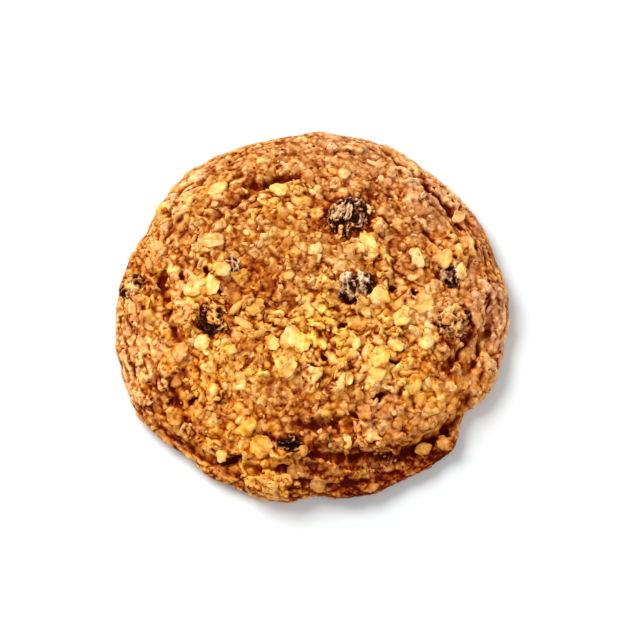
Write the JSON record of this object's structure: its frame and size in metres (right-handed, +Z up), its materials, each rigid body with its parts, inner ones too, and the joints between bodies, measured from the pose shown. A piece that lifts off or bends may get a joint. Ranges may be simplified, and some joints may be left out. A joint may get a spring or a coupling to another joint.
{
  "type": "oatmeal raisin cookie",
  "caption": "Round domed oatmeal cookie with a lumpy baked top of rolled oats, raisins set in the dough and a flat base to rest on.",
  "frame": {"origin": "bottom centre: on the plane the cookie rests on, under the middle of its bounding box", "axes": "+Z up through the dome, +X to the right along the widest part, -Y towards the side with the spread foot at its right"},
  "size_m": [0.1036, 0.1014, 0.0177],
  "materials": {
    "baked_dough": "baked golden brown dough, rough and crumbly",
    "oat_flake": "toasted rolled oat flake, dry and matte",
    "raisin_skin": "dark wrinkled dried fruit skin with a soft shine"
  },
  "bodies": {
    "root": {"dough": "baked_dough", "raisin_back": "raisin_skin", "raisin_centre": "raisin_skin", "raisin_left": "raisin_skin", "raisin_right": "raisin_skin", "raisin_rim": "raisin_skin", "raisin_right_small": "raisin_skin", "raisin_left_small": "raisin_skin", "raisin_front": "raisin_skin"}
  },
  "joints": []
}
